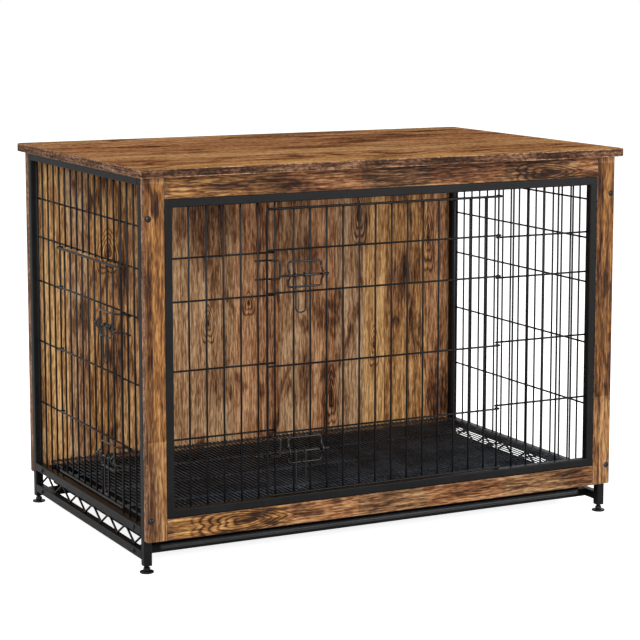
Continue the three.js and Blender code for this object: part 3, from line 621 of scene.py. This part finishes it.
def spotsBetween(first, last, pitch):
    return [(first + i) * pitch for i in range(int(last - first) + 1)]


def weldGrid(shape, place, spots, bottom, top, levels, start, end):
    radius, layer = gridLook["radius"], gridLook["crossLayer"]
    for along in spots:
        shape.tube([place(along, 0, bottom), place(along, 0, top)], radius)
    for level in levels:
        shape.tube([place(start, layer, level * mm), place(end, layer, level * mm)], radius)
        for along in spots:
            shape.bead(place(along, layer / 2, level * mm), gridLook["bead"])


def makeFrontGrids():
    low, high = corners("front_grid_left")
    pitch, tail, outer = gridLook["frontPitch"], gridLook["tail"], gridLook["frontOuter"]
    first, last = gridLook["frontDoor"]
    strips = {"left": (-outer, first, low.x, first * pitch + tail),
              "right": (last, outer, last * pitch - tail, -low.x)}
    for side, (start, end, left, right) in strips.items():
        shape = Shape()
        weldGrid(shape, frontPlace, spotsBetween(start, end, pitch), low.z, high.z, gridLook["frontLevels"],
                 left, right)
        shape.piece(f"{side}FrontGrid", "crate", [f"front_grid_{side}"])


def makeRightGrid():
    low, high = corners("right_grid")
    railBottom, outer = high.z - tubeLook["width"], gridLook["sideOuter"]
    shape = Shape()
    shape.bar((high.x - tubeLook["width"], low.y, railBottom), high, 1)
    weldGrid(shape, rightPlace, spotsBetween(-outer, outer, gridLook["sidePitch"]), low.z,
             railBottom + gridLook["railSink"], gridLook["sideLevels"], low.y, high.y)
    shape.piece("rightGrid", "crate", ["right_grid"])


def makeLeftGrids():
    low, high = corners("left_grid_upper")
    pitch, tail, outer = gridLook["sidePitch"], gridLook["tail"], gridLook["sideOuter"]
    first, last = gridLook["sideDoor"]
    frontEdge, rearEdge = first * pitch + tail, last * pitch - tail
    railBottom, gap = high.z - tubeLook["width"], gridLook["openingGap"]
    shape = Shape()
    shape.bar((low.x, low.y, railBottom), (low.x + tubeLook["width"], high.y, high.z), 1)
    upper = [level for level in gridLook["sideLevels"] if level * mm > low.z]
    weldGrid(shape, leftPlace, spotsBetween(first + 1, last - 1, pitch), low.z,
             railBottom + gridLook["railSink"], upper, frontEdge + gap, rearEdge - gap)
    shape.piece("leftUpperGrid", "crate", ["left_grid_upper"])
    rows = {"front": (-outer, first, low.y, frontEdge), "rear": (last, outer, rearEdge, high.y)}
    for row, (start, end, near, far) in rows.items():
        low, high = corners(f"left_grid_{row}")
        shape = Shape()
        weldGrid(shape, leftPlace, spotsBetween(start, end, pitch), low.z, high.z, gridLook["sideLevels"],
                 near, far)
        shape.piece(f"left{row.title()}Grid", "crate", [f"left_grid_{row}"])


doorLook = {
    "frameRadius": 2.25 * mm, "frameSides": 12,
    "frameLayer": 4.75 * mm, "hookLayer": 3.93 * mm, "uprightLayer": 1.47 * mm,  # outwards from the grid
    "beadLayer": 2.7 * mm, "frameBeadLayer": 2.9 * mm, "uprightEnd": 0.3 * mm,
    "corner": 8 * mm, "cornerSteps": 8, "wireShift": 3.3 * mm,
    "hookAngle": 200, "hookSteps": 12,  # angle in degrees
}
latchLook = {
    "rodRadius": 2.1 * mm, "rodSides": 14, "rodTip": 0.45, "rodLayer": 8.57 * mm,
    "rodStart": 24 * mm, "rodEnd": 119 * mm,  # starts and ends are from the door's free edge
    "bridgeLayer": 12.73 * mm, "keeperLayer": -3.28 * mm, "keeperStart": -20 * mm, "keeperLeg": 21 * mm,
    "keeperDrop": 4.8 * mm, "keeperRise": 28 * mm, "keeperCorner": 5 * mm,
    "guideStart": 40.5 * mm, "guideEnd": 105.5 * mm, "guideRise": 24 * mm, "guideDrop": 21 * mm,
    "guideCorner": 8 * mm, "guideBulge": 10 * mm,
    "wireRadius": 1.45 * mm, "eyeRadius": 3.94 * mm, "eyeTurn": 250, "eyeSteps": 14,  # turn in degrees
    "handleStart": 51.7 * mm, "handleWidth": 19 * mm, "handleLength": 65 * mm, "handleSteps": 8,
    "handleSides": 12,
}
doors = {  # the opening's first and last wire in pitches, and the cross wires' levels in mm
    "front": {"place": frontPlace, "pitch": gridLook["frontPitch"], "between": gridLook["frontDoor"],
              "overlap": 17 * mm, "bottom": 114 * mm, "top": 620 * mm, "levels": (548, 472.5, 343.5, 224.5),
              "latches": {"upper": 501.98 * mm, "lower": 189.01 * mm}},
    "side": {"place": leftPlace, "pitch": gridLook["sidePitch"], "between": gridLook["sideDoor"],
             "overlap": 13 * mm, "bottom": 92 * mm, "top": 517 * mm, "levels": (443, 325.5, 206),
             "latches": {"upper": 407.0 * mm, "lower": 170.01 * mm}},
}


def hook(place, hinge, layer, height):  # a wire's end, wound round the hinge wire
    count = doorLook["hookSteps"]
    turns = [pi / 2 - radians(doorLook["hookAngle"]) * i / count for i in range(count + 1)]
    return [place(hinge + layer * cos(turn), layer * sin(turn), height) for turn in turns]


def doorPiece(name, door, edge):
    place, pitch, (first, last) = door["place"], door["pitch"], door["between"]
    hinge, bottom, top = last * pitch, door["bottom"], door["top"]
    layer, corner, reach = doorLook["frameLayer"], doorLook["corner"], doorLook["hookLayer"]
    upright, bead = doorLook["uprightLayer"], gridLook["bead"]
    shape = Shape()
    outline = softened([place(hinge - corner, layer, top), place(edge, layer, top),
                        place(edge, layer, bottom), place(hinge - corner, layer, bottom)],
                       corner, doorLook["cornerSteps"])
    shape.tube([*reversed(hook(place, hinge, layer, top)), *outline, *hook(place, hinge, layer, bottom)],
               doorLook["frameRadius"], sides=doorLook["frameSides"])
    for level in door["levels"]:
        shape.tube([place(edge, reach, level * mm), *hook(place, hinge, reach, level * mm)],
                   gridLook["radius"])
    for spot in spotsBetween(first + 1, last - 1, pitch):
        along = spot + doorLook["wireShift"]
        shape.tube([place(along, upright, bottom - doorLook["uprightEnd"]),
                    place(along, upright, top + doorLook["uprightEnd"])], gridLook["radius"])
        for level in door["levels"]:
            shape.bead(place(along, doorLook["beadLayer"], level * mm), bead)
        for height in (bottom, top):
            shape.bead(place(along, doorLook["frameBeadLayer"], height), bead)
    for height in door["latches"].values():
        shape.tube(guidePath(place, edge, height), gridLook["radius"], "latch", loop=True)
    shape.piece(f"{name}Door", f"{name}_door", [f"{name}_door"])


def guidePath(place, edge, rodHeight):  # the wire loop that a bolt slides in, closed at its low side
    look, layer = latchLook, doorLook["hookLayer"]
    start, end = edge + look["guideStart"], edge + look["guideEnd"]
    low, high = rodHeight - look["guideDrop"], rodHeight + look["guideRise"]
    bulge, bridge = look["guideBulge"], look["bridgeLayer"]
    middle = (start + end) / 2
    side = [(layer, -bulge), (bridge, -bulge / 4), (bridge, bulge / 4), (layer, bulge)]
    path = softened([
        place(middle, layer, low), place(end, layer, low),
        *[place(end, out, rodHeight + up) for out, up in side], place(end, layer, high),
        place(start, layer, high), *[place(start, out, rodHeight + up) for out, up in reversed(side)],
        place(start, layer, low), place(middle, layer, low)], look["guideCorner"])
    return path[:-1]


def keeperPath(place, edge, rodHeight):
    look = latchLook
    start, inPlane = edge + look["keeperStart"], edge + 2 * doorLook["frameRadius"]
    leg, bridge, behind = edge + look["keeperLeg"], look["bridgeLayer"], look["keeperLayer"]
    low, high = rodHeight - look["keeperDrop"], rodHeight + look["keeperRise"]
    return softened([place(start, behind, high), place(inPlane, behind, high), place(leg, bridge, high),
                     place(leg, bridge, low), place(inPlane, behind, low), place(start, behind, low)],
                    look["keeperCorner"])


def handlePath(place, edge, rodHeight):
    look = latchLook
    first = edge + look["handleStart"]
    last = first + look["handleWidth"]
    radius, rod, steps = look["eyeRadius"], look["rodLayer"], look["eyeSteps"]
    bottom, legLayer, legTop = rodHeight - look["handleLength"], rod + radius, rodHeight - radius
    turns = [radians(look["eyeTurn"]) * (1 - i / steps) for i in range(steps + 1)]

    def eye(along):  # wound round the rod
        return [place(along, rod + radius * cos(turn), rodHeight + radius * sin(turn)) for turn in turns]

    loop = softened([place(first, legLayer, legTop), place(first, legLayer, bottom),
                     place(last, legLayer, bottom), place(last, legLayer, legTop)],
                    look["handleWidth"] / 2, look["handleSteps"])
    return [*eye(first), *loop, *reversed(eye(last))]


def latchPieces(name, door, level, edge, rodHeight):
    look, place, tag = latchLook, door["place"], level.title()
    keeper = Shape()
    keeper.tube(keeperPath(place, edge, rodHeight), gridLook["radius"], "latch")
    keeper.piece(f"{name}Keeper{tag}", "crate", [f"{name}_keeper_{level}"])
    bolt = Shape()
    bolt.tube([place(edge + look["rodStart"], look["rodLayer"], rodHeight),
               place(edge + look["rodEnd"], look["rodLayer"], rodHeight)],
              look["rodRadius"], "latch", look["rodSides"], tip=look["rodTip"])
    bolt.piece(f"{name}Bolt{tag}", f"{name}_latch_bolt_{level}", [f"{name}_bolt_{level}"])
    handle = Shape()
    handle.tube(handlePath(place, edge, rodHeight), look["wireRadius"], "latch", look["handleSides"])
    handle.piece(f"{name}Handle{tag}", f"{name}_latch_handle_{level}", [f"{name}_handle_{level}"])


def makeDoors():
    for name, door in doors.items():
        edge = door["between"][0] * door["pitch"] - door["overlap"]
        doorPiece(name, door, edge)
        for level, height in door["latches"].items():
            latchPieces(name, door, level, edge, height)


floorLook = {
    "pitch": 9.2 * mm, "longRadius": 1.35 * mm, "longSides": 8, "crossRadius": 1.8 * mm, "crossBars": 3,
    "edgeRadius": 2.0 * mm, "corner": 4 * mm, "margin": 8 * mm,
    "longLayer": 5.0 * mm, "longEnd": 0.4 * mm,  # long wires above the grid's underside, and inside its ends
    "sink": 0.1 * mm,                            # cross bars into the long wires
}


def makeFloor():
    look = floorLook
    low, high = corners("floor_grid")
    edge, radius, layer = look["edgeRadius"], look["longRadius"], low.z + look["longLayer"]
    left, right, near, far = low.x + edge, high.x - edge, low.y + edge, high.y - edge
    middle = (low.x + high.x) / 2
    outline = [(middle, near), (right, near), (right, far), (left, far), (left, near), (middle, near)]
    path = softened([(x, y, low.z + edge) for x, y in outline], look["corner"])
    shape = Shape()
    shape.tube(path[:-1], edge, "mesh", loop=True)
    count = floor((high.x - low.x - look["margin"]) / look["pitch"]) - 1
    for i in range(count):
        x = (i - (count - 1) / 2) * look["pitch"]
        shape.tube([(x, low.y + look["longEnd"], layer), (x, high.y - look["longEnd"], layer)],
                   radius, "mesh", look["longSides"])
    inner, bars = high.y - 2 * edge, look["crossBars"]
    z = layer - radius - look["crossRadius"] + look["sink"]
    for i in range(bars):
        y = -inner + 2 * inner * (i + 1) / (bars + 1)
        shape.tube([(left, y, z), (right, y, z)], look["crossRadius"], "mesh")
    shape.piece("floorGrid", "crate", ["floor_grid"])


trayShape = {
    "height": 20 * mm, "wall": 1.8 * mm, "corner": 12 * mm, "cornerSteps": 6,
    "floorCorner": 3 * mm, "ease": 0.3, "rimEdge": 0.6 * mm, "rimInnerEdge": 0.4 * mm,
    "lipRadius": 4.5 * mm, "lipInset": 10 * mm, "lipLap": 1 * mm, "lipDrop": 1 * mm, "lipSides": 20,
    "capTurns": (0.15, 0.5, 0.85, 1.2, pi / 2),  # rounded ends of the lip
}


def makeTray():
    low, high = corners("tray")
    look = trayShape
    bottom, radius = high.z - look["height"], look["lipRadius"]
    outerLow = Vector((low.x, low.y + 2 * radius - look["lipLap"], 0))
    outerHigh = Vector((high.x, high.y, 0))

    def outline(inset, z):
        step = Vector((inset, inset, 0))
        corner = look["corner"] - inset
        return roundedRing(outerLow + step, outerHigh - step, 2, z, corner, look["cornerSteps"])

    wall, soft, edge = look["wall"], look["floorCorner"], look["rimEdge"]
    eased, inside = soft * look["ease"], bottom + wall
    section = [(soft, bottom), (eased, bottom + eased), (0, bottom + soft), (0, high.z - edge),
               (edge, high.z), (wall - look["rimInnerEdge"], high.z), (wall, high.z - edge),
               (wall, inside + soft), (wall + eased, inside + eased), (wall + soft, inside)]
    shape = Shape()
    shape.rings([outline(inset, z) for inset, z in section], "tray")

    y, z = low.y + radius, bottom - look["lipDrop"]
    left, right = low.x + look["lipInset"], high.x - look["lipInset"]
    caps = [(radius * (1 - cos(turn)), radius * sin(turn)) for turn in look["capTurns"]]
    stations = [(left + inwards, size) for inwards, size in caps]
    stations += [(right - inwards, size) for inwards, size in reversed(caps)]
    shape.rings([circle(Vector((x, y, z)), Vector((0, 1, 0)), Vector((0, 0, 1)), size, look["lipSides"])
                 for x, size in stations], "lip")
    shape.piece("trayPan", "tray", ["tray"])


footShape = {
    "pad": 12.4 * mm, "padHeight": 3 * mm, "padEdge": 0.8 * mm, "padRim": 0.6 * mm,
    "shoulder": 0.62, "shoulderRise": 0.7 * mm, "neckRise": 2 * mm,  # the shoulder as a share of the pad
    "nut": 6.2 * mm, "nutRise": 1.6 * mm, "nutTop": 9.6 * mm, "nutEdge": 0.6 * mm, "nutChamfer": 0.5 * mm,
    "stud": 3.9 * mm, "threadPitch": 1.25 * mm, "threadDepth": 0.55 * mm, "studEnd": 0.2 * mm,
    "padSides": 36, "nutSides": 6, "studSides": 24,
}


def footPiece(name, node):
    look = footShape
    low, high = corners(node)
    centre, upright = Vector(((low.x + high.x) / 2, (low.y + high.y) / 2, 0)), (0, 0, 1)
    pad, tall, stud = look["pad"], look["padHeight"], look["stud"]
    shape = Shape()
    shape.turned([(0, 0.0), (pad - look["padEdge"], 0.0), (pad, look["padEdge"]),
                  (pad, tall - look["padRim"]), (pad - look["padRim"], tall),
                  (pad * look["shoulder"], tall + look["shoulderRise"]), (stud, tall + look["neckRise"])],
                 centre, upright, "foot", look["padSides"])
    nut, base, top = look["nut"], tall + look["nutRise"], look["nutTop"]
    face = nut - look["nutEdge"]
    shape.turned([(stud, base), (face, base), (nut, base + look["nutChamfer"]),
                  (nut, top - look["nutChamfer"]), (face, top), (stud, top)],
                 centre, upright, "bolt", look["nutSides"])
    thread, z, pitch = [(stud, top)], top, look["threadPitch"]
    while z < high.z - pitch - look["studEnd"]:
        thread += [(stud - look["threadDepth"], z + pitch * 0.5), (stud, z + pitch)]
        z += pitch
    shape.turned(thread + [(0, z)], centre, upright, "bolt", look["studSides"])
    shape.piece(name, node, [node])


def makeFeet():
    for row in ("front", "rear"):
        for side in ("left", "right"):
            footPiece(f"{row}{side.title()}Foot", f"{row}_{side}_foot")


boltShape = {"head": 5.4 * mm, "tall": 3.0 * mm, "shank": 2.9 * mm, "socket": 2.0 * mm, "deep": 1.5 * mm}
screwShape = {"head": 4.4 * mm, "tall": 2.5 * mm, "shank": 2.4 * mm, "socket": 1.4 * mm, "deep": 1.0 * mm}
headDome = ((0.94, 0), (1, 0.12), (0.97, 0.35), (0.85, 0.62), (0.66, 0.85), (0.5, 1))  # of head and tall
socketMouth = {"wide": 1.15, "deep": 0.15 * mm, "sides": 6}  # wide as a share of the socket


def fastener(name, node, look, outward):
    low, high = corners(node)
    outward = Vector(outward)
    axis = max(range(3), key=lambda i: abs(outward[i]))
    head, tall, shank, socket = look["head"], look["tall"], look["shank"], look["socket"]
    seat = (high + low) / 2
    seat[axis] = (high[axis] if outward[axis] > 0 else low[axis]) - outward[axis] * tall
    length = high[axis] - low[axis] - tall
    mouth = (socket * socketMouth["wide"], tall)
    shape = Shape()
    shape.turned([(0, -length), (shank, -length), (shank, 0),
                  *[(head * wide, tall * rise) for wide, rise in headDome], mouth], seat, outward, "bolt")
    shape.turned([mouth, (socket, tall - socketMouth["deep"]), (socket, tall - look["deep"]),
                  (0, tall - look["deep"])], seat, outward, "bolt", socketMouth["sides"])
    shape.piece(name, "crate", [node])


def makeFasteners():
    for row, back in (("front", -1), ("rear", 1)):
        for side, out in (("left", -1), ("right", 1)):
            for level in ("upper", "lower"):
                tag = f"{row}{side.title()}{level.title()}"
                fastener(f"{tag}Bolt", f"{row}_{side}_bolt_{level}", boltShape, (0, back, 0))
                fastener(f"{tag}Screw", f"{row}_{side}_screw_{level}", screwShape, (out, 0, 0))


cameraLook = {"spot": (-1.7918, -3.5383, 1.0202), "turn": 0.4706, "tilt": 0.1332, "lens": 117.91,
              "sensor": 36.0, "shift": -0.1}
lightLook = {
    "ambient": 0.46, "aim": (0, 0, 0.35),
    "lamps": {  # place, size and power
        "keyLamp": ((-2.6, -3.4, 2.2), 2.4, 125.0),
        "fillLamp": ((2.4, -3.6, 1.5), 2.2, 80.0),
        "topLamp": ((0.4, 1.2, 3.2), 2.4, 30.0),
    },
    "floor": colour(238, 238, 238), "floorLift": 0.85, "floorSize": 40.0,
}


def makeCamera():
    camera = bpy.data.objects.new("viewCamera", bpy.data.cameras.new("viewCamera"))
    bpy.context.collection.objects.link(camera)
    camera.location = cameraLook["spot"]
    camera.rotation_euler = (pi / 2 - cameraLook["tilt"], 0.0, -cameraLook["turn"])
    camera.data.lens, camera.data.sensor_width = cameraLook["lens"], cameraLook["sensor"]
    camera.data.shift_y = cameraLook["shift"]
    bpy.context.scene.camera = camera
    bpy.context.scene.view_settings.view_transform = "Standard"


def makeLamps():
    for name, (spot, size, power) in lightLook["lamps"].items():
        lamp = bpy.data.objects.new(name, bpy.data.lights.new(name, "AREA"))
        bpy.context.collection.objects.link(lamp)
        lamp.data.shape, lamp.data.size, lamp.data.energy = "SQUARE", size, power
        lamp.location = spot
        aim = Vector(lightLook["aim"]) - Vector(spot)
        lamp.rotation_euler = aim.to_track_quat("-Z", "Y").to_euler()


def makeBackdrop():  # white where it is seen, and plain light on the crate
    world = bpy.data.worlds.new("studioWorld")
    bpy.context.scene.world = world
    graph = Graph(world)
    rays = graph.add("ShaderNodeLightPath", out="Is Camera Ray")
    seen = rays.most(rays.pick("Is Glossy Ray")).most(rays.pick("Is Transmission Ray"))
    strength = seen * (1.0 - lightLook["ambient"]) + lightLook["ambient"]
    sky = graph.add("ShaderNodeBackground", None, {"Color": white, "Strength": strength})
    graph.add("ShaderNodeOutputWorld", None, {"Surface": sky})

    bpy.ops.mesh.primitive_plane_add(size=lightLook["floorSize"], location=(0, 0, 0))
    ground = bpy.context.object
    ground.name = "studioFloor"
    graph = Graph(bpy.data.materials.new("studioFloor"))
    ray = graph.add("ShaderNodeLightPath", out="Is Camera Ray")
    matt = graph.add("ShaderNodeBsdfDiffuse", None, {"Color": lightLook["floor"]})
    glow = graph.add("ShaderNodeEmission", None, {"Color": white, "Strength": ray * lightLook["floorLift"]})
    both = graph.add("ShaderNodeAddShader", None, {0: matt, 1: glow})
    graph.add("ShaderNodeOutputMaterial", None, {"Surface": both})
    ground.data.materials.append(graph.owner)


print("cutting boards")
makeBoards()
print("welding the frame")
makeTubes()
makeTrusses()
makeWindow()
print("welding the grids")
makeFrontGrids()
makeRightGrid()
makeLeftGrids()
print("hanging doors and latches")
makeDoors()
print("laying the floor and tray")
makeFloor()
makeTray()
print("fitting feet, bolts and screws")
makeFeet()
makeFasteners()
print("setting the studio")
makeCamera()
makeLamps()
makeBackdrop()
